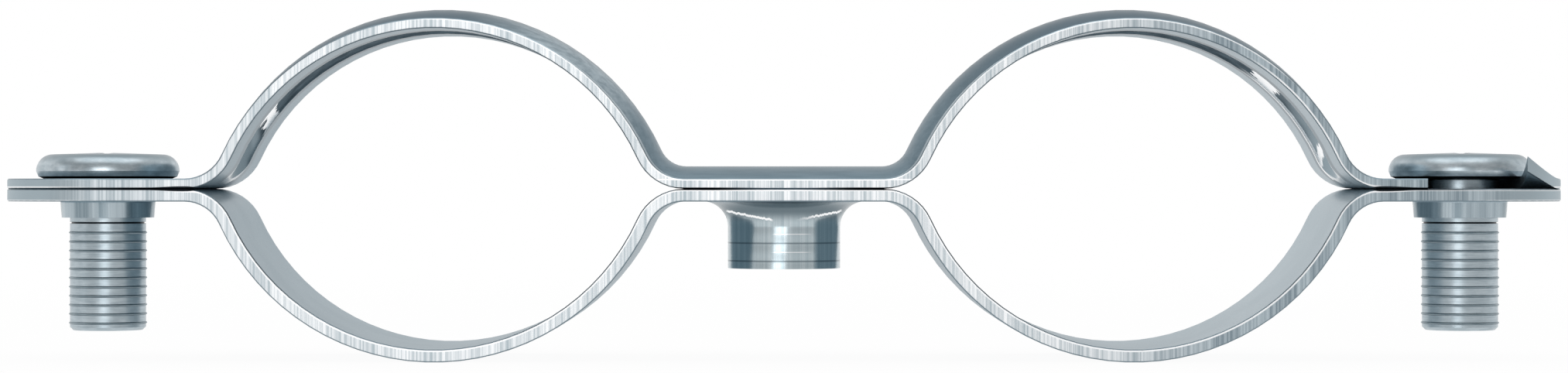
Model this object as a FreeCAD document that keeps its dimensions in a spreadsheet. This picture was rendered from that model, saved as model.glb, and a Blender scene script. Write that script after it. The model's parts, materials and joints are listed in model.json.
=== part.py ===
"""Double spacer clamp: two formed steel bands, closed on each other by two pan-head screws.

Frame: millimetres. X runs along the clamp, Y along the pipes it holds, Z up. The origin is the
centre of the threaded boss's mouth, where the clamp is screwed onto its stud.
"""
import FreeCAD, Part
import math
import os
import Sketcher

UP = 1
DOWN = -1
HALF_TURN = math.pi
QUARTER_TURN = math.pi / 2

# Driving sizes in millimetres, and one angle in degrees: name, value, what it measures
SIZES = (
    ("strip_width", 16.0, "width of both bands"),
    ("upper_wall", 0.8, "sheet of the upper band"),
    ("lower_wall", 1.0, "sheet of the lower band"),
    ("edge_bevel", 0.1, "bevel along the bands' cut edges"),
    ("middle_flat", 15.63, "flat between the two rings, from bend to bend"),
    ("ring_radius", 17.4, "inside radius of each arc"),
    ("ring_depth", 12.55, "from the joint plane to the inside of an arc"),
    ("bend_radius", 4.0, "ring side radius of the bend from an arc to a flat"),
    ("end_flat", 7.42, "from the outer bend to the closing screw's axis"),
    ("end_reach", 7.9, "from the closing screw's axis to the end of the bands"),
    ("bead_height", 1.0, "rise of the pressed bead"),
    ("bead_opening", 5.3, "width of the bead's groove at the sheet"),
    ("hole_gap", 0.6, "play of the screw in the upper band's round hole, on its diameter"),
    ("slot_gap", 2.0, "play of the screw in the upper band's open slot, on its width"),
    ("lip_gap", 0.08, "from the seat of the screw's head to where the lip starts to curl"),
    ("lip_radius", 5.6, "underside radius of the curled lip"),
    ("lip_angle", 65.0, "how far the lip curls before its end is trimmed, in degrees"),
    ("collar_gap", 0.2, "play of the screw in the drawn collar, on its diameter"),
    ("collar_wall", 0.55, "wall of the collar at its rim"),
    ("collar_draft", 0.1, "extra radius of the collar at its root"),
    ("collar_height", 1.3, "reach of the collar below the sheet"),
    ("collar_mouth", 0.5, "bevel where the collar's bore leaves the sheet"),
    ("boss_bore", 6.8, "core hole of the threaded boss"),
    ("boss_wall", 1.1, "wall of the boss"),
    ("boss_height", 5.35, "reach of the boss below the sheet"),
    ("boss_root", 2.05, "concave radius where the boss leaves the sheet"),
    ("boss_mouth", 2.2, "rounding where the boss's bore leaves the sheet"),
    ("screw_diameter", 6.0, "outside of the screw's thread"),
    ("screw_length", 12.1, "reach of the screw below its head"),
    ("tip_chamfer", 0.25, "chamfer at the screw's tip"),
    ("neck_gap", 0.35, "from the collar's rim down to the undercut where the thread starts"),
    ("neck_slot", 0.12, "height of that undercut"),
    ("neck_depth", 0.12, "depth of that undercut"),
    ("head_diameter", 11.3, "outside of the screw's head"),
    ("head_seat", 0.6, "bevel between the head's rim and its seat"),
    ("head_side", 0.05, "straight stretch of the head's rim"),
    ("head_shoulder", 1.3, "upper radius of the head's rim"),
    ("head_dome", 0.15, "rise of the head's top from its rim to its middle"),
    ("cross_span", 5.4, "length over two wings of the cross recess"),
    ("cross_wing", 1.1, "width of a wing of the cross recess"),
    ("cross_depth", 1.4, "depth of the cross recess"),
    ("cross_draft", 0.25, "how much a wing's side leans inwards down to the bottom"),
)
# How far a cut runs past what it cuts, and how deep an added form is sunk in its sheet
PAST = 1.0
SUNK = 0.25
# How near a point has to be to count as lying on an outline, and the least change of volume
TOUCH = 1e-4
TRACE = 1e-6


class Length:
    """A number together with the spreadsheet formula that gives it."""

    def __init__(self, value, formula=None):
        self.value = float(value)
        self.formula = formula or repr(float(value))

    def joined(self, other, sign, value):
        return Length(value, "(%s %s %s)" % (self.formula, sign, other.formula))

    def __add__(self, other):
        other = as_length(other)
        return self.joined(other, "+", self.value + other.value)

    def __sub__(self, other):
        other = as_length(other)
        return self.joined(other, "-", self.value - other.value)

    def __mul__(self, other):
        other = as_length(other)
        return self.joined(other, "*", self.value * other.value)

    def __truediv__(self, other):
        other = as_length(other)
        return self.joined(other, "/", self.value / other.value)

    def __neg__(self):
        return Length(-self.value, "(-1 * %s)" % self.formula)


def as_length(value):
    return value if isinstance(value, Length) else Length(value)


def root_of(square):
    return Length(math.sqrt(square.value), "sqrt(%s)" % square.formula)


def larger(one, other):
    return Length(max(one.value, other.value), "max(%s; %s)" % (one.formula, other.formula))


def sine(angle):
    return Length(math.sin(math.radians(angle.value)), "sin(%s)" % angle.formula)


def cosine(angle):
    return Length(math.cos(math.radians(angle.value)), "cos(%s)" % angle.formula)


ZERO = Length(0.0)


def make_sheet(doc):
    """The spreadsheet with every driving size, one to a row, and each size as a Length."""
    sheet = doc.addObject("Spreadsheet::Sheet", "sizes")
    sheet.set("A1", "size")
    sheet.set("B1", "millimetres")
    sheet.set("C1", "what it measures")
    for row, (alias, value, note) in enumerate(SIZES, start=2):
        sheet.set("A%d" % row, alias)
        sheet.set("B%d" % row, str(value))
        sheet.setAlias("B%d" % row, alias)
        sheet.set("C%d" % row, note)
    doc.recompute()
    return {alias: Length(sheet.get(alias), "sizes.%s" % alias) for alias, value, note in SIZES}


def origin_plane(body, role):
    """One of the body's own origin planes, found by its role."""
    return [item for item in body.Origin.OriginFeatures if item.Role == role][0]


def new_sketch(body, name, role, lift=None):
    """A sketch on one of the body's origin planes, or lifted off it by a length."""
    sketch = body.newObject("Sketcher::SketchObject", name)
    sketch.AttachmentSupport = (origin_plane(body, role), [""])
    sketch.MapMode = "FlatFace"
    if lift:
        sketch.setExpression("AttachmentOffset.Base.z", lift.formula)
    return sketch


def add_line(sketch, start, end, guide=False):
    """A straight stretch; returns its number and the numbers of its start and end points."""
    segment = Part.LineSegment(FreeCAD.Vector(start[0], start[1], 0), FreeCAD.Vector(end[0], end[1], 0))
    return (sketch.addGeometry(segment, guide), 1, 2)


def add_arc(sketch, centre, radius, first, last, guide=False):
    """A round stretch from one angle to another, either way round."""
    circle = Part.Circle(FreeCAD.Vector(centre[0], centre[1], 0), FreeCAD.Vector(0, 0, 1), radius)
    arc = Part.ArcOfCircle(circle, min(first, last), max(first, last))
    number = sketch.addGeometry(arc, guide)
    return (number, 1, 2) if first < last else (number, 2, 1)


def join(sketch, one, other, smooth=False):
    """Joins the end of one stretch to the start of the next, at a corner or tangentially."""
    kind = "Tangent" if smooth else "Coincident"
    sketch.addConstraint(Sketcher.Constraint(kind, one[0], one[2], other[0], other[1]))


def bind(sketch, constraint, length):
    """Adds a dimension and ties it to its formula."""
    number = sketch.addConstraint(constraint)
    sketch.setExpression("Constraints[%d]" % number, length.formula)


def place(sketch, number, end, x=None, y=None):
    """Ties a point to its distances from the sketch's origin, or to an axis it lies on."""
    for kind, length, axis in (("DistanceX", x, -2), ("DistanceY", y, -1)):
        if length is None:
            continue
        if length is ZERO:
            sketch.addConstraint(Sketcher.Constraint("PointOnObject", number, end, axis))
        else:
            bind(sketch, Sketcher.Constraint(kind, -1, 1, number, end, length.value), length)


def hold_radius(sketch, number, length):
    bind(sketch, Sketcher.Constraint("Radius", number, length.value), length)


def turning_axis(sketch, start, end):
    """The guide line that a section is turned about; it is the first line of its sketch."""
    number, first, last = add_line(sketch, (start[0].value, start[1].value),
                                   (end[0].value, end[1].value), guide=True)
    place(sketch, number, first, *start)
    place(sketch, number, last, *end)


def arc_through(sketch, start, end, radius, turn):
    """The smaller arc between two points, turning left (turn 1) or right (turn -1)."""
    across = (end[0] - start[0], end[1] - start[1])
    chord = math.hypot(across[0], across[1])
    height = math.sqrt(max(radius * radius - chord * chord / 4, 0.0))
    centre = ((start[0] + end[0]) / 2 - turn * across[1] / chord * height,
              (start[1] + end[1]) / 2 + turn * across[0] / chord * height)
    first = math.atan2(start[1] - centre[1], start[0] - centre[0])
    last = math.atan2(end[1] - centre[1], end[0] - centre[0])
    if turn > 0 and last < first:
        last += 2 * HALF_TURN
    if turn < 0 and last > first:
        first += 2 * HALF_TURN
    return add_arc(sketch, centre, radius, first, last)


def outline(sketch, *corners):
    """A closed outline. A corner is x and y, and radius and turn where a round stretch leads to it."""
    spots = [(corner[0].value, corner[1].value) for corner in corners]
    stretches = []
    for i, corner in enumerate(corners):
        if len(corner) == 4:
            stretches.append(arc_through(sketch, spots[i - 1], spots[i], corner[2].value, corner[3]))
        else:
            stretches.append(add_line(sketch, spots[i - 1], spots[i]))
    for one, other in zip(stretches, stretches[1:] + stretches[:1]):
        join(sketch, one, other)
    for stretch, corner in zip(stretches, corners):
        place(sketch, stretch[0], stretch[2], corner[0], corner[1])
        if len(corner) == 4:
            hold_radius(sketch, stretch[0], corner[2])


def volume_of(body):
    return 0.0 if body.Shape.isNull() else body.Shape.Volume


def new_feature(body, kind, name, sketch):
    feature = body.newObject(kind, name)
    feature.Profile = sketch
    return feature


def both_ways(feature, length):
    """Runs a pad or pocket the same way to both sides of its sketch."""
    feature.SideType = "Symmetric"
    feature.setExpression("Length", length.formula)


def settle(body, before, grows):
    """Recomputes, and stops where the last feature did not add or take away material as it must."""
    body.Document.recompute()
    after = volume_of(body)
    if abs(after - before) < TRACE or (after > before) != grows:
        raise RuntimeError("%s: %s took the volume from %.3f to %.3f"
                           % (body.Label, body.Tip.Name, before, after))


def spin(body, kind, name, sketch):
    """Revolves a section about its own guide line, adding or taking away."""
    before = volume_of(body)
    feature = new_feature(body, kind, name, sketch)
    feature.ReferenceAxis = (sketch, ["Axis0"])
    feature.Angle = 360.0
    settle(body, before, kind == "PartDesign::Revolution")


def cut_through(body, name, sketch, length):
    before = volume_of(body)
    both_ways(new_feature(body, "PartDesign::Pocket", name, sketch), length)
    settle(body, before, False)


class BandLine:
    """The ring side line of a band, from the middle flat over one ring to the band's end."""

    def __init__(self, size, side):
        self.side = side
        self.radius = size["ring_radius"]
        self.rise = size["ring_radius"] - size["ring_depth"]
        self.bend = size["bend_radius"]
        self.reach = self.radius + self.bend
        self.fall = self.rise + self.bend
        self.step = root_of(self.reach * self.reach - self.fall * self.fall)
        self.lean = math.atan2(self.fall.value, self.step.value)
        self.near = size["middle_flat"] / 2
        self.ring_x = self.near + self.step
        self.far = self.ring_x + self.step
        self.screw_x = self.far + size["end_flat"]
        self.tip_x = self.screw_x + size["end_reach"]

    def at_bead_end(self, out, along):
        """The point that far out from the ring's centre towards its outer bend, and that far beyond."""
        across = self.step / self.reach
        upward = self.fall / self.reach
        return (self.ring_x + out * across + along * upward, out * upward - along * across - self.rise)

    def bend_arc(self, sketch, way, wall, guide=False):
        """The bend on the middle side (way -1) or the end side (way 1) of the ring."""
        centre = (self.ring_x.value + way * self.step.value, self.side * self.bend.value)
        if way < 0:
            turns = (-QUARTER_TURN, -self.lean)
        else:
            turns = (HALF_TURN + self.lean, 3 * QUARTER_TURN)
        first, last = [self.side * turn for turn in turns]
        return add_arc(sketch, centre, self.bend.value - wall, first, last, guide)

    def ring_arc(self, sketch, wall):
        centre = (self.ring_x.value, -self.side * self.rise.value)
        first, last = [self.side * turn for turn in (HALF_TURN - self.lean, self.lean)]
        return add_arc(sketch, centre, self.radius.value + wall, first, last)

    def draw(self, sketch, whole=True):
        """The line itself. Where it isn't whole, the stretches past the ring are only guides."""
        middle = add_line(sketch, (0, 0), (self.near.value, 0))
        bend_in = self.bend_arc(sketch, -1, 0)
        ring = self.ring_arc(sketch, 0)
        bend_out = self.bend_arc(sketch, 1, 0, guide=not whole)
        flat = add_line(sketch, (self.far.value, 0), (self.tip_x.value, 0), guide=not whole)
        route = [middle, bend_in, ring, bend_out, flat]
        for one, other in zip(route, route[1:]):
            join(sketch, one, other, smooth=True)
        sketch.addConstraint(Sketcher.Constraint("Coincident", middle[0], 1, -1, 1))
        sketch.addConstraint(Sketcher.Constraint("Horizontal", middle[0]))
        sketch.addConstraint(Sketcher.Constraint("PointOnObject", flat[0], 1, -1))
        for bend in (bend_in, bend_out):
            hold_radius(sketch, bend[0], self.bend)
        hold_radius(sketch, ring[0], self.radius)
        place(sketch, ring[0], 3, self.ring_x, -self.rise if self.side == UP else self.rise)
        place(sketch, flat[0], 2, self.tip_x, ZERO)
        return route


def make_half_band(body, size, line, wall):
    """The strip from the middle to its right end, still square at the end."""
    sketch = new_sketch(body, "strip_edge", "XZ_Plane")
    middle, bend_in, ring, bend_out, flat = line.draw(sketch)
    back = line.side * wall.value
    tip = line.tip_x.value
    end = add_line(sketch, (tip, 0), (tip, back))
    back_flat = add_line(sketch, (tip, back), (line.far.value, back))
    back_out = line.bend_arc(sketch, 1, wall.value)
    back_ring = line.ring_arc(sketch, wall.value)
    back_in = line.bend_arc(sketch, -1, wall.value)
    back_middle = add_line(sketch, (line.near.value, back), (0, back))
    close = add_line(sketch, (0, back), (0, 0))

    turned = [(number, last, first) for number, first, last in (back_out, back_ring, back_in)]
    route = [back_flat] + turned + [back_middle]
    for one, other in zip(route, route[1:]):
        join(sketch, one, other, smooth=True)
    for one, other in ((flat, end), (end, back_flat), (back_middle, close), (close, middle)):
        join(sketch, one, other)
    for level in (back_flat, back_middle):
        sketch.addConstraint(Sketcher.Constraint("Horizontal", level[0]))
    for upright in (end, close):
        sketch.addConstraint(Sketcher.Constraint("Vertical", upright[0]))
    for outer, inner in ((back_out, bend_out), (back_ring, ring), (back_in, bend_in)):
        sketch.addConstraint(Sketcher.Constraint("Coincident", outer[0], 3, inner[0], 3))
    place(sketch, end[0], 2, None, wall if line.side == UP else -wall)
    both_ways(new_feature(body, "PartDesign::Pad", "strip", sketch), size["strip_width"])
    settle(body, 0.0, True)


def mirror_half(body):
    """The other half of the band, mirrored in the middle plane."""
    before = volume_of(body)
    mirrored = body.newObject("PartDesign::Mirrored", "other_half")
    mirrored.TransformMode = "Whole shape"
    mirrored.MirrorPlane = (origin_plane(body, "YZ_Plane"), [""])
    body.Tip = mirrored
    settle(body, before, True)


def round_ends(body, size, line, ways):
    """Blanks the ends of the strip to half circles."""
    half_width = size["strip_width"] / 2
    side = size["strip_width"]
    sketch = new_sketch(body, "end_waste", "XY_Plane")
    for way in ways:
        centre = (line.tip_x - half_width) * way
        tip = line.tip_x * way
        edge = (line.tip_x + PAST) * way
        outline(sketch, (centre, half_width), (tip, ZERO, half_width, -way),
                (centre, -half_width, half_width, -way), (centre, -side), (edge, -side),
                (edge, side), (centre, side))
    cut_through(body, "round_ends", sketch, size["ring_depth"] * 4)


def soften_edges(body, size, line):
    """Bevels the strip's cut edges a little, along both sides and around both ends."""
    half_width = size["strip_width"].value / 2
    centre = line.tip_x.value - half_width
    names = []
    for number, edge in enumerate(body.Tip.Shape.Edges, start=1):
        first, last = edge.ParameterRange
        spots = [edge.valueAt(first + (last - first) * part / 4) for part in range(5)]
        along = all(abs(abs(spot.y) - half_width) < TOUCH for spot in spots)
        around = all(abs(math.hypot(abs(spot.x) - centre, spot.y) - half_width) < TOUCH for spot in spots)
        span = math.hypot(spots[0].x - spots[-1].x, spots[0].y - spots[-1].y)
        if (along or around) and span > TOUCH:
            names.append("Edge%d" % number)
    before = volume_of(body)
    base = body.Tip
    bevel = body.newObject("PartDesign::Chamfer", "soft_edges")
    bevel.Base = (base, names)
    bevel.setExpression("Size", size["edge_bevel"].formula)
    settle(body, before, False)


def turn(body, kind, name, *corners):
    """Revolves a section about the upright line from its last corner to its first one."""
    sketch = new_sketch(body, name + "_section", "XZ_Plane")
    turning_axis(sketch, corners[-1][:2], corners[0][:2])
    outline(sketch, *corners)
    spin(body, kind, name, sketch)


def joint_height(size):
    """Height of the plane where the two bands meet."""
    return size["lower_wall"] + size["boss_height"]


def add_collar(body, size, line, wall):
    """The collar drawn out of the sheet under a closing screw, with its bore."""
    axis = line.screw_x
    bore = axis + (size["screw_diameter"] + size["collar_gap"]) / 2
    rim = bore + size["collar_wall"]
    foot = rim + size["collar_draft"]
    mouth = size["collar_mouth"]
    low = -(wall + size["collar_height"])
    turn(body, "PartDesign::Revolution", "collar", (axis, -wall / 2), (foot, -wall / 2), (foot, -wall),
         (rim, low), (axis, low))
    turn(body, "PartDesign::Groove", "collar_bore", (axis, Length(PAST)), (bore + mouth, Length(PAST)),
         (bore + mouth, ZERO), (bore, -mouth), (bore, low - PAST), (axis, low - PAST))


def add_boss(body, size, wall):
    """The boss drawn out of the middle flat, round at its root and at its mouth in the sheet."""
    bore = size["boss_bore"] / 2
    rim = bore + size["boss_wall"]
    root = size["boss_root"]
    mouth = size["boss_mouth"]
    low = -(wall + size["boss_height"])
    turn(body, "PartDesign::Revolution", "boss", (ZERO, -wall / 2), (rim + root, -wall / 2),
         (rim + root, -wall), (rim, -(wall + root), root, 1), (rim, low), (ZERO, low))
    turn(body, "PartDesign::Groove", "boss_bore", (ZERO, Length(PAST)), (bore + mouth, Length(PAST)),
         (bore + mouth, ZERO), (bore, -mouth, mouth, 1), (bore, low - PAST), (ZERO, low - PAST))


def make_lower_band(doc, size):
    """The lower band: strip, a drawn collar under each screw and the drawn boss in the middle."""
    body = doc.addObject("PartDesign::Body", "lower_band")
    body.setExpression("Placement.Base.z", joint_height(size).formula)
    line = BandLine(size, DOWN)
    wall = size["lower_wall"]
    make_half_band(body, size, line, wall)
    add_collar(body, size, line, wall)
    round_ends(body, size, line, (1,))
    mirror_half(body)
    add_boss(body, size, wall)
    soften_edges(body, size, line)
    return body


def run_round(body, name, kinds, path, line, middle, radius, chord):
    """Sweeps a circle's segment along the path and closes it with a ball's segment at its end.

    The circle's middle and the segment's chord are heights above the line that the path follows.
    """
    drop = chord - middle
    half_chord = root_of(radius * radius - drop * drop)
    section = new_sketch(body, name + "_section", "YZ_Plane")
    outline(section, (-half_chord, chord), (half_chord, chord, radius, -1))
    before = volume_of(body)
    run = new_feature(body, kinds[0], name + "_run", section)
    run.Spine = path
    settle(body, before, kinds[0] == "PartDesign::AdditivePipe")

    foot = line.radius + chord
    crown = line.at_bead_end(line.radius + middle + radius, Length(0))
    root = line.at_bead_end(foot, Length(0))
    end = new_sketch(body, name + "_end_section", "XZ_Plane")
    turning_axis(end, root, crown)
    outline(end, root, line.at_bead_end(foot, half_chord), crown + (radius, 1))
    spin(body, kinds[1], name + "_end", end)


def add_bead(body, size, line):
    """The pressed bead over one half of the band: a round ridge outside and its groove inside.

    It follows the middle flat, the bend and the arc, and runs out in a round end at the outer bend.
    """
    half_opening = size["bead_opening"] / 2
    height = size["bead_height"]
    groove = (half_opening * half_opening + height * height) / (height * 2)
    middle = height - groove
    path = new_sketch(body, "bead_path", "XZ_Plane")
    line.draw(path, whole=False)
    run_round(body, "ridge", ("PartDesign::AdditivePipe", "PartDesign::Revolution"), path, line,
              middle, groove + size["upper_wall"], Length(SUNK))
    # What the ridge's round end leaves below the outer bend goes
    inside = line.at_bead_end(line.radius, Length(0))
    sketch = new_sketch(body, "ridge_waste", "XZ_Plane")
    outline(sketch, inside, (line.far, ZERO, line.bend, 1), (line.far, -size["ring_depth"]),
            (inside[0], -size["ring_depth"]))
    cut_through(body, "ridge_trim", sketch, size["strip_width"] * 2)
    run_round(body, "groove", ("PartDesign::SubtractivePipe", "PartDesign::Groove"), path, line,
              middle, groove, Length(-SUNK))


def add_lip(body, size, line, start):
    """The curled lip beside the slot, which lets the band ride over the screw's head rim."""
    wall = size["upper_wall"]
    side = line.screw_x + (size["screw_diameter"] + size["slot_gap"]) / 2
    under = size["lip_radius"]
    over = under - wall
    out = sine(size["lip_angle"])
    down = cosine(size["lip_angle"])
    sketch = new_sketch(body, "lip_section", "YZ_Plane", side)
    outline(sketch, (start + SUNK, ZERO), (start, ZERO),
            (start - under * out, under - under * down, under, -1),
            (start - over * out, under - over * down), (start, wall, over, 1), (start + SUNK, wall))
    before = volume_of(body)
    lip = new_feature(body, "PartDesign::Pad", "lip", sketch)
    lip.setExpression("Length", (line.tip_x + PAST - side).formula)
    settle(body, before, True)


def make_upper_band(doc, size):
    """The upper band: strip with its bead, a hole at the left, a slot with a lip at the right."""
    body = doc.addObject("PartDesign::Body", "upper_band")
    body.setExpression("Placement.Base.z", joint_height(size).formula)
    line = BandLine(size, UP)
    wall = size["upper_wall"]
    make_half_band(body, size, line, wall)
    add_bead(body, size, line)
    mirror_half(body)
    round_ends(body, size, line, (1, -1))
    soften_edges(body, size, line)

    hole = (size["screw_diameter"] + size["hole_gap"]) / 2
    circle = Part.Circle(FreeCAD.Vector(-line.screw_x.value, 0, 0), FreeCAD.Vector(0, 0, 1), hole.value)
    sketch = new_sketch(body, "hole_circle", "XY_Plane")
    number = sketch.addGeometry(circle, False)
    place(sketch, number, 3, -line.screw_x, ZERO)
    hold_radius(sketch, number, hole)
    cut_through(body, "screw_hole", sketch, wall * 4)

    # The lip starts where the slot's wall comes out from under the seat of the screw's head
    half_slot = (size["screw_diameter"] + size["slot_gap"]) / 2
    seat = size["head_diameter"] / 2 - size["head_seat"]
    covered = root_of(larger(seat * seat - half_slot * half_slot, ZERO))
    start = -(covered + size["lip_gap"])
    near = line.screw_x - half_slot
    far = line.screw_x + half_slot
    edge = line.tip_x + PAST
    front = -(size["strip_width"] / 2 + PAST)
    sketch = new_sketch(body, "slot_outline", "XY_Plane")
    outline(sketch, (near, front), (near, ZERO), (line.screw_x, half_slot, half_slot, -1),
            (far, ZERO, half_slot, -1), (far, start), (edge, start), (edge, front))
    cut_through(body, "slot", sketch, wall * 4)
    add_lip(body, size, line, start)
    round_ends(body, size, line, (1,))
    return body


def make_screw(doc, size, name, way):
    """A pan-head closing screw with a cross recess, its head seated on the upper band."""
    body = doc.addObject("PartDesign::Body", name)
    body.setExpression("Placement.Base.x", (BandLine(size, UP).screw_x * way).formula)
    body.setExpression("Placement.Base.z", (joint_height(size) + size["upper_wall"]).formula)
    shank = size["screw_diameter"] / 2
    tip = -size["screw_length"]
    chamfer = size["tip_chamfer"]
    neck = -(size["upper_wall"] + size["lower_wall"] + size["collar_height"] + size["neck_gap"])
    thread = neck - size["neck_slot"]
    core = shank - size["neck_depth"]
    head = size["head_diameter"] / 2
    seat = size["head_seat"]
    side = seat + size["head_side"]
    shoulder = size["head_shoulder"]
    rim = side + shoulder
    top = rim + size["head_dome"]
    turn(body, "PartDesign::Revolution", "screw", (ZERO, tip), (shank - chamfer, tip),
         (shank, tip + chamfer), (shank, thread), (core, thread), (core, neck), (shank, neck),
         (shank, ZERO), (head - seat, ZERO), (head, seat), (head, side),
         (head - shoulder, rim, shoulder, 1), (ZERO, top))

    half_span = size["cross_span"] / 2
    half_wing = size["cross_wing"] / 2
    floor = top - size["cross_depth"]
    sections = []
    for name, level, draft in (("recess_mouth", top, ZERO), ("recess_floor", floor, size["cross_draft"])):
        reach = half_span - draft
        wing = half_wing - draft
        sketch = new_sketch(body, name, "XY_Plane", level)
        outline(sketch, (reach, -wing), (reach, wing), (wing, wing), (wing, reach), (-wing, reach),
                (-wing, wing), (-reach, wing), (-reach, -wing), (-wing, -wing), (-wing, -reach),
                (wing, -reach), (wing, -wing))
        sections.append(sketch)
    before = volume_of(body)
    recess = new_feature(body, "PartDesign::SubtractiveLoft", "cross_recess", sections[0])
    recess.Sections = [sections[1]]
    recess.Ruled = True
    settle(body, before, False)
    return body


def main():
    doc = FreeCAD.newDocument("double_spacer_clamp")
    size = make_sheet(doc)
    pieces = [make_lower_band(doc, size), make_upper_band(doc, size),
              make_screw(doc, size, "left_screw", -1), make_screw(doc, size, "right_screw", 1)]
    doc.recompute()
    for item in doc.Objects:
        if "Invalid" in item.State or "Error" in item.State:
            raise RuntimeError("%s failed: %s" % (item.Name, item.State))
    os.makedirs("parts", exist_ok=True)
    for piece in pieces:
        shape = piece.Shape
        if shape.isNull() or not shape.isValid():
            raise RuntimeError("%s has no sound shape" % piece.Label)
        shape.exportStep("parts/%s.step" % piece.Label)
        print(piece.Label, "solids %d" % len(shape.Solids), "volume %.1f" % shape.Volume)


main()
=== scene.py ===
"""Double spacer clamp on a pale studio floor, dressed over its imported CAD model.

X runs along the clamp, Y along the pipes it holds, Z up; the origin is the boss's mouth. Meshes
are in metres, and the finishes work in millimetres.
"""
import json
import math

import bmesh
import bpy
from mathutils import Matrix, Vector


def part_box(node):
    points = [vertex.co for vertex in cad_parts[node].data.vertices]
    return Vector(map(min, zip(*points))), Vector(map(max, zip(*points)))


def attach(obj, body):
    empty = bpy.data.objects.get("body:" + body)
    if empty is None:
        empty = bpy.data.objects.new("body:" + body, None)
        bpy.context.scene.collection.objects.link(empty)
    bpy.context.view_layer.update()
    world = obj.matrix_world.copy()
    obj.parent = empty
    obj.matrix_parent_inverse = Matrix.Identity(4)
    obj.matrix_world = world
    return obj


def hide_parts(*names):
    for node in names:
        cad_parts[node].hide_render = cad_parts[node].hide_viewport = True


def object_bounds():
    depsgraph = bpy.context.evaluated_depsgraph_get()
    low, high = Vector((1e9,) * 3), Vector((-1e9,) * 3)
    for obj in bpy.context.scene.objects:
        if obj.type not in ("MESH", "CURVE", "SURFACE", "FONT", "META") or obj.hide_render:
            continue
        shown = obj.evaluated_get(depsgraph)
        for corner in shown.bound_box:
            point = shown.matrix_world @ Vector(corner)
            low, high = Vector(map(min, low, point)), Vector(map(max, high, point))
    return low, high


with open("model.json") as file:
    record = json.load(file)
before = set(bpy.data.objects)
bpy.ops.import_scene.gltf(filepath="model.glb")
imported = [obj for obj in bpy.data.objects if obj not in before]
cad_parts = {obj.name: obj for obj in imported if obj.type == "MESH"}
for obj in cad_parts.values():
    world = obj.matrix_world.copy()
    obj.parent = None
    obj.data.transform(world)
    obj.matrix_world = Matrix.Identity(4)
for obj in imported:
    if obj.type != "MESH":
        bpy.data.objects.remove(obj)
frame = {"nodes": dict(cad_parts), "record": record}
cad_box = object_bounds()


# Lower band. One strip of zinc-plated steel, sheared to width and pressed over a form. Its front
# and back faces are the sheared cuts, streaked across the sheet. The boss in the middle and the
# collars under the screws are drawn out of the same sheet, which left them darker and smoother.

class Wire:
    """One output in a node tree. Sums and products of wires add the Math nodes."""

    def __init__(self, nodes, socket):
        self.nodes = nodes
        self.socket = socket

    def math(self, operation, first, second=0.0):
        return self.nodes.add("ShaderNodeMath", {"operation": operation}, {0: first, 1: second})

    def __add__(self, other):
        return self.math("ADD", self, other)

    def __radd__(self, other):
        return self.math("ADD", other, self)

    def __sub__(self, other):
        return self.math("SUBTRACT", self, other)

    def __rsub__(self, other):
        return self.math("SUBTRACT", other, self)

    def __mul__(self, other):
        return self.math("MULTIPLY", self, other)

    def __rmul__(self, other):
        return self.math("MULTIPLY", other, self)

    def __truediv__(self, other):
        return self.math("DIVIDE", self, other)

    def __rtruediv__(self, other):
        return self.math("DIVIDE", other, self)

    def __abs__(self):
        return self.math("ABSOLUTE", self)

    def larger(self, other):
        return self.math("MAXIMUM", self, other)

    def smaller(self, other):
        return self.math("MINIMUM", self, other)

    def sine(self):
        return self.math("SINE", self)

    def diagonal(self, other):
        """Length of the diagonal over two steps at right angles."""
        return self.math("SQRT", self * self + other * other)

    def ramp(self, low, high, start=0.0, end=1.0):
        """Goes smoothly from start to end while the wire goes from low to high."""
        return self.nodes.add("ShaderNodeMapRange", {"interpolation_type": "SMOOTHSTEP"},
                              {"Value": self, "From Min": low, "From Max": high,
                               "To Min": start, "To Max": end})

    def near(self, place, full, gone):
        """1 up to the distance full from a place, fading to 0 at the distance gone."""
        return abs(self - place).ramp(gone, full)

    def spread(self, half):
        """Stretches what lies so far to each side of a noise's middle over the range 0 to 1."""
        return self.ramp(0.5 - half, 0.5 + half)


class Nodes:
    """A node tree under construction."""

    def __init__(self, tree):
        self.tree = tree

    def add(self, kind, settings, sockets, output=0):
        """Any node: its settings are set first, then the values or wires of its sockets."""
        node = self.tree.nodes.new(kind)
        for key, value in settings.items():
            setattr(node, key, value)
        for key, value in sockets.items():
            if isinstance(value, Wire):
                self.tree.links.new(value.socket, node.inputs[key])
            else:
                node.inputs[key].default_value = value
        return Wire(self, node.outputs[output]) if node.outputs else None


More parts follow.
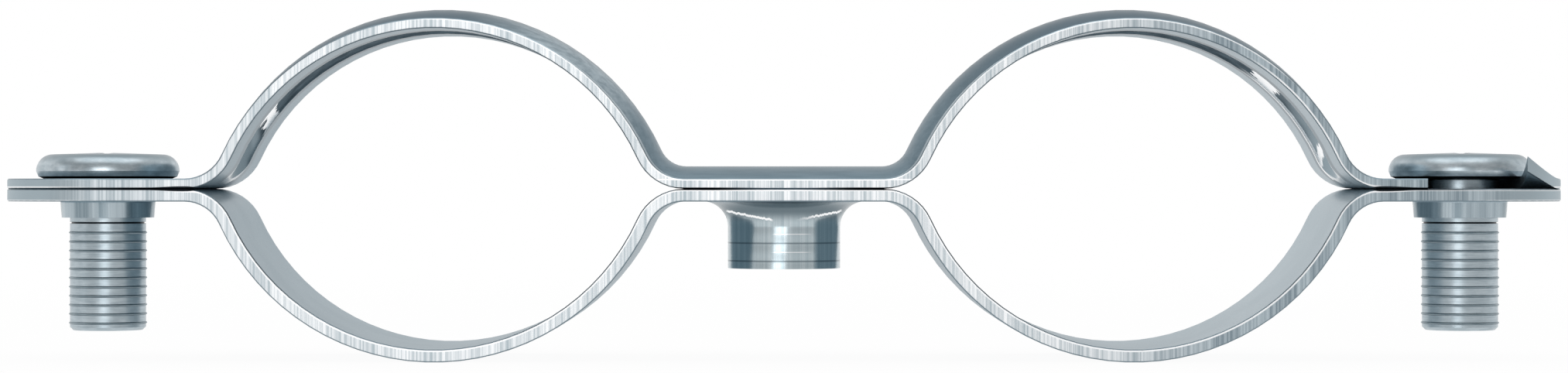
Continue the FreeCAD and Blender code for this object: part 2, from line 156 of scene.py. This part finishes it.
class Finish(Nodes):
    """A bare metal finish, worked out from the surface point in millimetres."""

    def __init__(self, name):
        self.material = bpy.data.materials.new(name)
        self.material.use_nodes = True
        self.material.node_tree.nodes.clear()
        super().__init__(self.material.node_tree)
        point = self.add("ShaderNodeTexCoord", {}, {}, "Object")
        self.point = self.add("ShaderNodeVectorMath", {"operation": "SCALE"},
                              {0: point, "Scale": 1000.0})
        self.x, self.y, self.z = [self.add("ShaderNodeSeparateXYZ", {}, {0: self.point}, axis)
                                  for axis in "XYZ"]

    def mix(self, share, one, other):
        """One colour where the share is 0, the other where it is 1."""
        return self.add("ShaderNodeMix", {"data_type": "RGBA"}, {0: share, 6: one, 7: other}, 2)

    def streaks(self, along, per_mm, detail):
        """Noise that changes along one direction only."""
        return self.add("ShaderNodeTexNoise", {"noise_dimensions": "1D"},
                        {"W": along, "Scale": per_mm, "Detail": detail, "Roughness": 0.6})

    def grain(self, per_mm, stretch=(1.0, 1.0, 1.0), detail=3.0):
        """Noise in space, drawn out where the stretch is small."""
        spot = self.add("ShaderNodeVectorMath", {"operation": "MULTIPLY"},
                        {0: self.point, 1: stretch})
        return self.add("ShaderNodeTexNoise", {"noise_dimensions": "3D"},
                        {"Vector": spot, "Scale": per_mm, "Detail": detail, "Roughness": 0.6})

    def metal(self, color, roughness, relief, depth_mm):
        """Closes the tree as bare metal with a relief that is so deep."""
        normal = self.add("ShaderNodeBump", {}, {"Height": relief, "Distance": depth_mm / 1000})
        shader = self.add("ShaderNodeBsdfPrincipled", {},
                          {"Base Color": color, "Roughness": roughness, "Metallic": 1.0,
                           "Normal": normal})
        self.add("ShaderNodeOutputMaterial", {}, {"Surface": shader})
        return self.material


def mm(length):
    return length * 1000


# The sizes that the finishes follow, in millimetres. A ring is two arcs, one in each band, which
# mirror one another in the plane of the joint, with a bend to either side. STEP is half of the
# length over which one formula hands over to the next
band_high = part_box("lower_band")[1]
screw_low, screw_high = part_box("right_screw")
joint = mm(band_high.z)
half_width = mm(band_high.y)
end_centre = mm(band_high.x) - half_width
screw_x = mm(screw_low.x + screw_high.x) / 2
LOWER_WALL = 1.0
RING_X = 27.30
RING_RADIUS = 17.4
RING_RISE = -4.85
ARC_REACH = 15.84
BEND_REACH = 19.48
BEND_RADIUS = 4.0
STEP = 0.01

# Heights over the joint of the painted highlight lines under both sheets and on top of them
LOW_RIM, MIDDLE_RIM, TOP_RIM = -0.93, 0.13, 0.72

# The boss: where its wall ends below the root, the lowest crease, the step between creases, and
# the painted highlight line across the root
WALL_TOP = 3.0
CREASE_Z = 0.61
BULGE_STEP = 1.43
HIGHLIGHT_Z = 3.7
HIGHLIGHT_SLOPE = 0.19

SATIN = (0.148, 0.23, 0.28, 1)
# The plating's paler tone, where painted light falls
SATIN_LIT = (0.42, 0.50, 0.545, 1)
CUT_DARK = (0.43, 0.495, 0.53, 1)
CUT_PALE = (0.90, 0.915, 0.93, 1)
# Painted shade for the shear streaks towards the ends, and for the round ends
SHADED_CUT_DARK = (0.23, 0.29, 0.33, 1)
SHADED_CUT_PALE = (0.50, 0.575, 0.615, 1)
CUT_END_SHADE = (0.40, 0.475, 0.515, 1)
# Painted shade, a dark line on the bevels
BEVEL_SHADE = (0.165, 0.22, 0.255, 1)
# Painted highlight, for bright lines, spots and rims
PAINTED_HIGHLIGHT = (0.97, 0.98, 0.99, 1)
# Black painted shade, in the seam between the bands and in corners
SHADE_BLACK = (0.015, 0.02, 0.025, 1)
DRAWN_DARK = (0.38, 0.46, 0.495, 1)
DRAWN_PALE = (0.53, 0.60, 0.63, 1)
# Painted shade at the boss's root
BOSS_ROOT_SHADE = (0.15, 0.195, 0.22, 1)
# Painted shade in the boss's creases
CREASE_SHADE = (0.12, 0.16, 0.185, 1)
COLLAR_DARK = (0.20, 0.26, 0.295, 1)
COLLAR_PALE = (0.46, 0.53, 0.57, 1)
SATIN_ROUGHNESS = 0.36
CUT_ROUGHER = 0.12
RELIEF = 0.004


def ring_place(finish):
    """Where a point lies beside the nearest ring: its rise from the joint, its distance along the
    clamp from the ring's axis, and its distance from that axis, in millimetres."""
    rise = abs(finish.z - joint)
    across = abs(abs(finish.x) - RING_X)
    return rise, across, across.diagonal(rise - RING_RISE)


def under_ring_side(finish):
    """Depth in the sheet below its ring side, the same for both bands, in millimetres.

    A ring's arc ends at ARC_REACH to each side of its axis and the bend beside it at BEND_REACH.
    """
    rise, across, from_ring = ring_place(finish)
    in_arc = from_ring - RING_RADIUS
    in_bend = BEND_RADIUS - (across - BEND_REACH).diagonal(rise - BEND_RADIUS)
    past_arc = across.ramp(ARC_REACH - STEP, ARC_REACH + STEP)
    past_bend = across.ramp(BEND_REACH - STEP, BEND_REACH + STEP)
    return in_arc + (in_bend - in_arc) * past_arc + (rise - in_bend) * past_bend


def sheet_color(finish, wall):
    """Satin plating on the sheet's faces and upright shear streaks on its cut edges.

    Gives the colour, the share of cut edge and the plating's specks.
    """
    rise = finish.z - joint
    reach = abs(finish.x)
    inset = half_width - (reach - end_centre).larger(0.0).diagonal(finish.y)
    cut = inset.ramp(0.05, 0.02)
    # The bevels beside the cut edges, which get a line of painted shade
    edge = inset.ramp(0.16, 0.10) * (1 - cut)
    round_end = reach.ramp(53.0, 58.0)

    # Streaks of the shear, in painted shade towards both ends, less so on the left, and in an even
    # painted shade on the round ends
    fine_streaks = finish.streaks(finish.x, 4.2, 2.0).spread(0.14)
    broad_streaks = finish.streaks(finish.x + 40.0, 0.45, 2.0).spread(0.15)
    tone = fine_streaks * 0.55 + broad_streaks * 0.45
    bright = finish.mix(tone, CUT_DARK, CUT_PALE)
    shaded_cut = finish.mix(tone, SHADED_CUT_DARK, SHADED_CUT_PALE)
    cut_shade = finish.x.ramp(21.0, 36.0) + finish.x.ramp(-42.0, -54.0) * 0.5
    shear = finish.mix(round_end, finish.mix(cut_shade, bright, shaded_cut), CUT_END_SHADE)

    # A painted highlight line along the top of the middle flat, and under both sheets at the round
    # ends
    low_rim, middle_rim, top_rim = [rise.near(height, 0.03, 0.07)
                                    for height in (LOW_RIM, MIDDLE_RIM, TOP_RIM)]
    glint = top_rim * reach.ramp(11.5, 9.5) + (low_rim + middle_rim) * round_end

    # Another painted highlight along the ring side of the lower band, and on the right arc of the
    # upper one. Just outside the outer bends, where the bands part, it makes room for a wedge
    # of painted shade
    depth = under_ring_side(finish)
    wedge = reach.ramp(49.6, 47.0, 0.0, 0.09) * reach.ramp(45.5, 46.6)
    ring_side = (depth - wedge).ramp(0.22, 0.14) * finish.x.ramp(47.5, 50.0, 1.0, 0.5)
    on_lower = rise.ramp(STEP, -STEP) * finish.x.ramp(-48.5, -46.5)
    on_right_arc = finish.x.ramp(35.5, 39.0) * finish.x.ramp(47.0, 45.5)
    glint = glint + ring_side * on_lower.larger(on_right_arc)

    # The outer edge gets a thin line of painted shade, but a painted highlight on the upper band
    # between the rings' tops
    above_back = wall - depth
    between_tops = (rise.ramp(0.0, 2 * STEP) * finish.x.ramp(-31.0, -26.0)
                    * finish.x.ramp(40.5, 37.5))
    glint = (glint + above_back.ramp(0.20, 0.12) * between_tops * 0.8).smaller(1.0)
    shade = above_back.ramp(0.14, 0.06) * reach.ramp(55.0, 52.0) * 0.75 * (1 - between_tops)
    shear = finish.mix(glint, finish.mix(shade, shear, BEVEL_SHADE), PAINTED_HIGHLIGHT)

    # The plating, with painted light making it paler towards the right end, and mottled at random
    cloud = finish.grain(0.12).spread(0.2)
    speck = finish.grain(9.0).spread(0.25)
    light_and_mottle = finish.x.ramp(20.0, 46.0) * 0.6 + cloud * 0.15 + speck * 0.25
    satin = finish.mix(light_and_mottle, SATIN, SATIN_LIT)
    color = finish.mix(edge, finish.mix(cut, satin, shear), BEVEL_SHADE)

    # Painted shade, black, in the seam where the bands meet, but for the middle and the round
    # ends, and widest where they part
    seam_shade = (abs(rise) - wedge).ramp(0.13, 0.09) * inset.ramp(0.3, 0.15)
    blackness = reach.ramp(1.0, 6.0) * reach.ramp(59.0, 49.0, 0.2, 1.0)
    return finish.mix(seam_shade * blackness, color, SHADE_BLACK), cut, speck


def lower_band_finish():
    finish = Finish("drawn_sheet")
    color, cut, speck = sheet_color(finish, LOWER_WALL)
    reach = abs(finish.x)
    below_sheet = joint - LOWER_WALL - finish.z

    # The boss, with the upright marks of the drawing die, and painted shade at its root
    boss = finish.x.diagonal(finish.y).ramp(7.2, 5.2) * below_sheet.ramp(0.01, 0.15)
    die_marks = finish.streaks(finish.x, 3.0, 5.0).spread(0.2)
    drawn = finish.mix(die_marks, DRAWN_DARK, DRAWN_PALE)
    drawn = finish.mix(finish.z.ramp(3.6, 4.6), drawn, BOSS_ROOT_SHADE)

    # The thread pushed its wall out in bulges with creases between: painted shade in the creases,
    # and a painted highlight on the bulges in the middle
    bulges = ((finish.z - CREASE_Z) * (2 * math.pi / BULGE_STEP) - math.pi / 2).sine()
    wall = finish.z.ramp(WALL_TOP + 0.3, WALL_TOP)
    drawn = finish.mix(bulges.ramp(-0.93, -0.99) * wall * 0.7, drawn, CREASE_SHADE)
    sheen = bulges.ramp(0.985, 0.998) * finish.x.ramp(-1.0, -0.6) * finish.x.ramp(2.4, 1.4)
    drawn = finish.mix(sheen * wall * 0.8, drawn, PAINTED_HIGHLIGHT)

    # A painted highlight line that falls from both sides of the root towards the middle
    highlight_height = HIGHLIGHT_Z + reach * HIGHLIGHT_SLOPE + (die_marks - 0.5) * 0.1
    highlight_reach = (finish.x.ramp(-0.8, -1.1) + finish.x.ramp(0.8, 3.0)) * reach.ramp(4.7, 4.4)
    drawn = finish.mix(finish.z.near(highlight_height, 0.06, 0.11) * highlight_reach, drawn, PAINTED_HIGHLIGHT)
    color = finish.mix(boss, color, drawn)

    # The collars under the screws, patchy from the drawing
    collar = (reach - screw_x).diagonal(finish.y).ramp(3.95, 3.85) * below_sheet.ramp(0.03, 0.15)
    patches = finish.streaks(finish.x + 7.0, 0.75, 1.0).spread(0.2)
    fine_marks = finish.streaks(finish.x, 4.0, 3.0).spread(0.2)
    collar_tone = finish.mix(patches * 0.7 + fine_marks * 0.3, COLLAR_DARK, COLLAR_PALE)
    color = finish.mix(collar, color, collar_tone)

    roughness = SATIN_ROUGHNESS + cut * CUT_ROUGHER - boss * 0.15 - collar * 0.12
    relief = speck * 0.25 * (1 - boss - collar) + bulges * boss * 0.8
    return finish.metal(color, roughness, relief, RELIEF)


def evaluated_mesh(piece):
    """The mesh that a piece's modifiers make of it."""
    bpy.context.view_layer.update()
    graph = bpy.context.evaluated_depsgraph_get()
    return bpy.data.meshes.new_from_object(piece.evaluated_get(graph), depsgraph=graph)


def smooth_copy(node, name, finish, reshape=None, sharp=math.radians(24)):
    """A piece in the place of a CAD node: the same solid, joined up and shaded smooth.

    The normals follow the larger faces, so that plain walls stay plain beside their fillets.
    """
    shape = bmesh.new()
    shape.from_mesh(frame["nodes"][node].data)
    bmesh.ops.remove_doubles(shape, verts=shape.verts, dist=1e-6)
    if reshape:
        reshape(shape)
    mesh = bpy.data.meshes.new(name)
    shape.to_mesh(mesh)
    shape.free()
    if "custom_normal" in mesh.attributes:
        mesh.attributes.remove(mesh.attributes["custom_normal"])
    mesh.materials.clear()
    mesh.materials.append(finish)
    mesh.shade_smooth()
    mesh.set_sharp_from_angle(angle=sharp)
    piece = bpy.data.objects.new(name, mesh)
    bpy.context.scene.collection.objects.link(piece)
    even = piece.modifiers.new("even_normals", "WEIGHTED_NORMAL")
    even.keep_sharp = True
    evened = evaluated_mesh(piece)
    piece.modifiers.clear()
    piece.data = evened
    return piece


lower_band = smooth_copy("lower_band", "lower_band_sheet", lower_band_finish())
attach(lower_band, "root")
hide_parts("lower_band")


# Boss thread. The boss is tapped right through for the stud that carries the clamp. The turns
# stand in from the wall of its bore and are cut in the band's own steel.

BOSS_PITCH = 0.00125
BOSS_TURNS = 2.6
BOSS_BORE = frame["record"]["mounts"][0]["dims"]["r_mm"] / 1000
TURN_HEIGHT = 0.0003
TURN_POINTS = 72
PROFILE_SIDES = 4
# The thread is painted dark as the shade in its grooves
THREAD_SHADE_DARK = (0.19, 0.245, 0.275, 1)
THREAD_SHADE_PALE = (0.33, 0.395, 0.43, 1)


def new_geometry_tree(name, inputs):
    """An empty geometry tree with its named inputs, and the wire of each of them."""
    tree = bpy.data.node_groups.new(name, "GeometryNodeTree")
    tree.interface.new_socket("Geometry", in_out="OUTPUT", socket_type="NodeSocketGeometry")
    for label, kind in inputs:
        tree.interface.new_socket(label, in_out="INPUT", socket_type=kind)
    nodes = Nodes(tree)
    source = tree.nodes.new("NodeGroupInput")
    return nodes, {label: Wire(nodes, source.outputs[label]) for label, kind in inputs}


def close_geometry_tree(nodes, geometry, finish):
    """Ends a geometry tree in real geometry with its material."""
    real = nodes.add("GeometryNodeRealizeInstances", {}, {"Geometry": geometry})
    dressed = nodes.add("GeometryNodeSetMaterial", {}, {"Geometry": real, "Material": finish})
    nodes.add("NodeGroupOutput", {}, {"Geometry": dressed})
    return nodes


def grown_piece(name, nodes, values):
    """Runs a finished geometry tree with its input values and keeps the result as a plain mesh."""
    seed = bpy.data.objects.new(name, bpy.data.meshes.new(name + "_seed"))
    bpy.context.scene.collection.objects.link(seed)
    modifier = seed.modifiers.new(name, "NODES")
    modifier.node_group = nodes.tree
    for item in nodes.tree.interface.items_tree:
        if item.in_out == "INPUT" and item.name in values:
            modifier[item.identifier] = values[item.name]
    mesh = evaluated_mesh(seed)
    seed.modifiers.clear()
    shape = bmesh.new()
    shape.from_mesh(mesh)
    bmesh.ops.remove_doubles(shape, verts=shape.verts, dist=1e-7)
    bmesh.ops.recalc_face_normals(shape, faces=shape.faces)
    shape.to_mesh(mesh)
    shape.free()
    seed.data = mesh
    return seed


def turns_tree():
    """A screw thread's turns, as a four-sided bar wound up a cylinder."""
    nodes, given = new_geometry_tree("thread_turns", (
        ("Turns", "NodeSocketFloat"), ("Rise", "NodeSocketFloat"),
        ("Radius", "NodeSocketFloat"), ("Height", "NodeSocketFloat"),
        ("Foot", "NodeSocketVector"), ("Finish", "NodeSocketMaterial")))
    winding = nodes.add("GeometryNodeCurveSpiral", {}, {
        "Resolution": TURN_POINTS, "Rotations": given["Turns"], "Start Radius": given["Radius"],
        "End Radius": given["Radius"], "Height": given["Rise"]})
    profile = nodes.add("GeometryNodeCurvePrimitiveCircle", {},
                        {"Resolution": PROFILE_SIDES, "Radius": given["Height"]})
    bar = nodes.add("GeometryNodeCurveToMesh", {},
                    {"Curve": winding, "Profile Curve": profile, "Fill Caps": True})
    placed = nodes.add("GeometryNodeTransform", {},
                       {"Geometry": bar, "Translation": given["Foot"]})
    return close_geometry_tree(nodes, placed, given["Finish"])


def thread_finish():
    """Cut thread, painted dark as the shade in its grooves, with fine marks around it."""
    finish = Finish("cut_thread")
    marks = finish.grain(3.0, (0.3, 0.3, 6.0))
    color = finish.mix(marks.spread(0.2), THREAD_SHADE_DARK, THREAD_SHADE_PALE)
    return finish.metal(color, 0.34 + marks * 0.1, marks, 0.003)


thread_steel = thread_finish()
boss_thread = grown_piece("boss_thread", turns_tree(), {
    "Turns": BOSS_TURNS, "Rise": BOSS_TURNS * BOSS_PITCH, "Radius": BOSS_BORE,
    "Height": TURN_HEIGHT, "Foot": (0.0, 0.0, TURN_HEIGHT * 1.5), "Finish": thread_steel})
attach(boss_thread, "root")


# Upper band. A thinner strip of the same steel, with a bead pressed along its middle that stiffens
# it. The left screw goes through a round hole, the right one through a slot that is open at the
# front, beside which the sheet curls up over the screw's head.

UPPER_WALL = 0.8
GROOVE_LIFT = 0.45
BEAD_DARK = (0.13, 0.185, 0.22, 1)
BEAD_PALE = (0.165, 0.225, 0.265, 1)
BEAD_TOP = (0.09, 0.13, 0.16, 1)
# A painted reflection on the bead
BEAD_REFLECTION = (0.36, 0.43, 0.47, 1)
# The groove in painted shade, and lighter where painted light falls
GROOVE_SHADE = (0.045, 0.065, 0.08, 1)
GROOVE_SHEEN = (0.09, 0.125, 0.15, 1)
GROOVE_LIT_LOW = (0.16, 0.21, 0.24, 1)
GROOVE_LIT = (0.30, 0.37, 0.41, 1)

# Where the groove gets painted highlight spots: the place along the clamp, the distances from it
# at which the spot starts to fade and is gone, and how far its edge wanders
SHINE = ((-41.6, 0.55, 0.75, 2.4), (38.9, 0.80, 1.00, 2.4), (43.3, 0.14, 0.26, 0.6))


def upper_band_finish():
    finish = Finish("beaded_sheet")
    color, cut, speck = sheet_color(finish, UPPER_WALL)
    reach = abs(finish.x)
    aside = abs(finish.y)
    ridge = aside.ramp(4.5, 3.9) * reach.ramp(46.0, 44.4)
    marks = finish.grain(2.0, (0.15, 1.0, 1.0)).spread(0.2)
    bead = finish.mix(marks, BEAD_DARK, BEAD_PALE)
    bead = finish.mix(finish.z.ramp(10.0, 19.0), bead, BEAD_TOP)
    color = finish.mix(ridge * 0.9, color, bead)

    # The arcs' ring side, which is lifted in the groove under the bead
    past_back = ring_place(finish)[2] - (RING_RADIUS + UPPER_WALL)
    hollow = (past_back - aside.ramp(2.3, 1.9) * GROOVE_LIFT).ramp(-0.08, -0.18)

    # A painted highlight on the sheet's shoulders towards the middle flat, and a painted
    # reflection on the front of the left bead
    towards_flat = reach.ramp(10.5, 12.5) * reach.ramp(27.0, 23.0) * (1 - hollow)
    shoulder_highlight = aside.ramp(4.2, 4.8) * (1 - cut) * towards_flat
    color = finish.mix(shoulder_highlight * 0.6, color, SATIN_LIT)
    front_left = (finish.x.ramp(-26.0, -18.5) * finish.x.ramp(-10.5, -14.5)
                  * finish.y.ramp(0.5, -1.5))
    bead_reflection = ridge * towards_flat * front_left * (marks * 0.5 + 0.4)
    color = finish.mix(bead_reflection, color, BEAD_REFLECTION)

    # The groove is smoother, in mottled painted shade that is lighter low down, on the right ring
    # and beside the left spot, with painted highlight spots
    bead_end = reach.ramp(48.5, 46.5)
    groove = hollow * aside.ramp(2.75, 2.45) * bead_end
    sheen = finish.grain(1.6, (0.35, 2.5, 0.35))
    tone = finish.mix(sheen.spread(0.2), GROOVE_SHADE, GROOVE_SHEEN)
    tone = finish.mix(finish.z.ramp(11.2, 9.4), tone, GROOVE_LIT_LOW)
    tone = finish.mix(finish.x.ramp(38.0, 44.0) * 0.8, tone, GROOVE_LIT)
    tone = finish.mix(finish.x.near(-42.7, 0.1, 0.5) * 0.5, tone, GROOVE_LIT)
    uneven = sheen - 0.5
    shine = sum((finish.x + uneven * wander).near(place, full, gone)
                for place, full, gone, wander in SHINE)
    color = finish.mix(groove, color, finish.mix(shine, tone, PAINTED_HIGHLIGHT))

    # On the right arc its far rim gets a painted highlight
    far_rim_highlight = hollow * finish.y.near(2.74, 0.26, 0.34) * finish.x.ramp(36.5, 38.5) * bead_end
    color = finish.mix(far_rim_highlight, color, PAINTED_HIGHLIGHT)

    roughness = SATIN_ROUGHNESS + cut * CUT_ROUGHER - groove * 0.20
    return finish.metal(color, roughness, speck * 0.25 * (1 - groove), RELIEF)


upper_band = smooth_copy("upper_band", "upper_band_sheet", upper_band_finish())
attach(upper_band, "root")
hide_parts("upper_band")


# Closing screws. Cold-headed pan-head screws of zinc-plated steel: a burnished head with a cross
# recess, a plain neck and a shank whose thread shows as level ridges with flat ground between.

SCREW_RADIUS = 0.003
SCREW_LENGTH = 0.0121
HEAD_BEVEL = 0.0006
BEVEL_CUTS = 5
NEAR = 0.00002
RIDGES = 11
RIDGE_PITCH = 0.0007215
RIDGE_HEIGHT = 0.0001
RIDGE_FROM_TIP = 0.00058
RIDGE_POINTS = 96
UNDERCUT_Z = 3.64
SHANK_DARK = (0.35, 0.42, 0.46, 1)
SHANK_PALE = (0.52, 0.59, 0.63, 1)
HEAD_DARK = (0.39, 0.46, 0.50, 1)
HEAD_PALE = (0.62, 0.69, 0.73, 1)
# Painted shade on the head's top
HEAD_TOP_SHADE = (0.20, 0.255, 0.285, 1)


def screw_finish():
    finish = Finish("burnished_screw")
    turned = finish.grain(1.6, (0.35, 0.35, 9.0), 5.0)
    scuffs = finish.grain(0.8, (1.0, 1.0, 2.2), 4.0)
    tone = turned.spread(0.2) * 0.6 + scuffs.spread(0.15) * 0.4
    shank = finish.mix(tone, SHANK_DARK, SHANK_PALE)
    head = finish.mix(scuffs.ramp(0.3, 0.75), HEAD_DARK, HEAD_PALE)
    # Painted shade darkens the top of the head
    head = finish.mix(finish.z.ramp(8.2, 9.1), head, HEAD_TOP_SHADE)
    on_head = finish.z.ramp(7.1, 7.2)
    color = finish.mix(on_head, shank, head)

    # Painted shade, black, in the corner under the head and in the undercut above the thread
    shade_under_head = finish.z.near(mm(screw_low.z + SCREW_LENGTH) + 0.05, 0.12, 0.17)
    undercut = finish.z.near(UNDERCUT_Z, 0.06, 0.09)
    color = finish.mix(shade_under_head.larger(undercut), color, SHADE_BLACK)
    relief = turned * (1 - on_head) + scuffs * on_head
    return finish.metal(color, 0.29 + turned * 0.10, relief, RELIEF)


def round_bevel(shape, axis_x, seat, head_radius):
    """Swells the bevel under a screw's head into a quarter round."""
    def on_circle(vert, up, inset):
        """Whether a corner lies on the circle so far above the seat and inside the rim."""
        out = math.hypot(vert.co.x - axis_x, vert.co.y)
        return abs(vert.co.z - seat - up) < NEAR and abs(out - head_radius + inset) < NEAR

    across = [edge for edge in shape.edges
              if any(on_circle(end, 0.0, HEAD_BEVEL) for end in edge.verts)
              and any(on_circle(end, HEAD_BEVEL, 0.0) for end in edge.verts)]
    bmesh.ops.subdivide_edges(shape, edges=across, cuts=BEVEL_CUTS)
    for vert in shape.verts:
        rise = (vert.co.z - seat) / HEAD_BEVEL
        out = math.hypot(vert.co.x - axis_x, vert.co.y)
        if 0.01 < rise < 0.99 and out > head_radius - 1.5 * HEAD_BEVEL:
            turn = rise * math.pi / 2
            swell = (head_radius - HEAD_BEVEL * (1 - math.sin(turn))) / out
            vert.co.x = axis_x + (vert.co.x - axis_x) * swell
            vert.co.y *= swell
            vert.co.z = seat + HEAD_BEVEL * (1 - math.cos(turn))


def ridges_tree():
    """Level ridges one above another around an upright shank."""
    nodes, given = new_geometry_tree("shank_ridges", (
        ("Count", "NodeSocketInt"), ("Step", "NodeSocketVector"),
        ("Radius", "NodeSocketFloat"), ("Height", "NodeSocketFloat"),
        ("Foot", "NodeSocketVector"), ("Finish", "NodeSocketMaterial")))
    circle = nodes.add("GeometryNodeCurvePrimitiveCircle", {},
                       {"Resolution": RIDGE_POINTS, "Radius": given["Radius"]})
    profile = nodes.add("GeometryNodeCurvePrimitiveCircle", {},
                        {"Resolution": PROFILE_SIDES, "Radius": given["Height"]})
    ring = nodes.add("GeometryNodeCurveToMesh", {}, {"Curve": circle, "Profile Curve": profile})
    levels = nodes.add("GeometryNodeMeshLine", {}, {
        "Count": given["Count"], "Start Location": given["Foot"], "Offset": given["Step"]})
    rings = nodes.add("GeometryNodeInstanceOnPoints", {}, {"Points": levels, "Instance": ring})
    return close_geometry_tree(nodes, rings, given["Finish"])


screw_steel = screw_finish()
ridges = ridges_tree()
for side in ("left", "right"):
    low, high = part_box(side + "_screw")
    axis_x = (low.x + high.x) / 2
    screw = smooth_copy(
        side + "_screw", side + "_pan_head_screw", screw_steel,
        reshape=lambda shape: round_bevel(shape, axis_x, low.z + SCREW_LENGTH,
                                          (high.x - low.x) / 2))
    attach(screw, "root")
    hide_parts(side + "_screw")

    thread = grown_piece(side + "_screw_thread", ridges, {
        "Count": RIDGES, "Step": (0.0, 0.0, RIDGE_PITCH), "Radius": SCREW_RADIUS,
        "Height": RIDGE_HEIGHT, "Foot": (axis_x, 0.0, low.z + RIDGE_FROM_TIP),
        "Finish": thread_steel})
    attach(thread, "root")


# Studio. The clamp stands on its two lower arcs on a pale floor that fades into white, under a
# large lamp overhead, with a small soft panel in front and a little to the left, and a larger one
# far off on the left. The room is white behind the clamp.

FLOOR_REACH = 4.0
FLOOR_PAINT = (0.88, 0.88, 0.88, 1)
WHITE = (1, 1, 1, 1)
DIM_ROOM = 0.42


def floor_finish():
    material = bpy.data.materials.new("pale_floor")
    material.use_nodes = True
    material.node_tree.nodes.clear()
    nodes = Nodes(material.node_tree)
    spot = nodes.add("ShaderNodeTexCoord", {}, {}, "Object")
    away = nodes.add("ShaderNodeVectorMath", {"operation": "LENGTH"}, {0: spot}, "Value")
    seen, mirrored, through = [nodes.add("ShaderNodeLightPath", {}, {}, ray) for ray in (
        "Is Camera Ray", "Is Glossy Ray", "Is Transmission Ray")]
    white_share = (seen + mirrored + through) * away.ramp(0.08, 0.3, 0.95, 1.0)
    paint = nodes.add("ShaderNodeBsdfDiffuse", {}, {"Color": FLOOR_PAINT})
    white = nodes.add("ShaderNodeEmission", {}, {"Strength": 1.0})
    shader = nodes.add("ShaderNodeMixShader", {}, {0: white_share, 1: paint, 2: white})
    nodes.add("ShaderNodeOutputMaterial", {}, {"Surface": shader})
    return material


floor_mesh = bpy.data.meshes.new("floor")
floor_mesh.from_pydata([(-FLOOR_REACH, -FLOOR_REACH, 0), (FLOOR_REACH, -FLOOR_REACH, 0),
                        (FLOOR_REACH, FLOOR_REACH, 0), (-FLOOR_REACH, FLOOR_REACH, 0)],
                       [], [(0, 1, 2, 3)])
floor_mesh.materials.append(floor_finish())
floor = bpy.data.objects.new("floor", floor_mesh)
floor.location.z = cad_box[0].z
bpy.context.scene.collection.objects.link(floor)

# White behind the clamp, and a dimmer room behind the camera for the metal to mirror
world = bpy.data.worlds.new("studio")
world.use_nodes = True
world.node_tree.nodes.clear()
room = Nodes(world.node_tree)
facing = room.add("ShaderNodeTexCoord", {}, {}, "Generated")
toward_back = room.add("ShaderNodeSeparateXYZ", {}, {0: facing}, "Y")
seen = room.add("ShaderNodeLightPath", {}, {}, "Is Camera Ray")
brightness = toward_back.ramp(-0.35, 0.45, DIM_ROOM, 1.0).larger(seen)
air = room.add("ShaderNodeBackground", {}, {"Color": WHITE, "Strength": brightness})
room.add("ShaderNodeOutputWorld", {}, {"Surface": air})
bpy.context.scene.world = world


def soft_lamp(name, place, aim, width, height, radiance):
    """A rectangular lamp that shows so bright in the metal, whatever its size."""
    data = bpy.data.lights.new(name, "AREA")
    data.shape = "RECTANGLE"
    data.size = width
    data.size_y = height
    data.energy = radiance * math.pi * width * height
    lamp = bpy.data.objects.new(name, data)
    lamp.location = place
    lamp.rotation_euler = (Vector(aim) - Vector(place)).to_track_quat("-Z", "Y").to_euler()
    lamp.visible_camera = False
    bpy.context.scene.collection.objects.link(lamp)


soft_lamp("overhead", place=(0.0, -0.2, 1.3), aim=(0, 0, 0),
          width=1.6, height=1.0, radiance=1.3)
soft_lamp("front_panel", place=(-0.055, -0.34, 0.057), aim=(-0.055, 0, 0.057),
          width=0.15, height=0.126, radiance=2.6)
soft_lamp("left_panel", place=(-1.7, -0.6, 0.5), aim=(0, 0, 0),
          width=0.5, height=0.9, radiance=1.0)

# Camera. Level, a little above the joint between the bands, at the distance of the photograph
CAMERA_Y = -0.286
CAMERA_Z = 0.00653
FOCAL_PIXELS = 4608.0
PHOTO_WIDTH = 2026.0
camera_data = bpy.data.cameras.new("camera")
camera_data.sensor_width = 36.0
camera_data.lens = FOCAL_PIXELS / PHOTO_WIDTH * camera_data.sensor_width
camera_data.clip_start = 0.01
camera = bpy.data.objects.new("camera", camera_data)
camera.location = (0.0, CAMERA_Y, CAMERA_Z)
camera.rotation_euler = (math.pi / 2, 0.0, 0.0)
bpy.context.scene.collection.objects.link(camera)
bpy.context.scene.camera = camera
bpy.context.scene.view_settings.view_transform = "Standard"
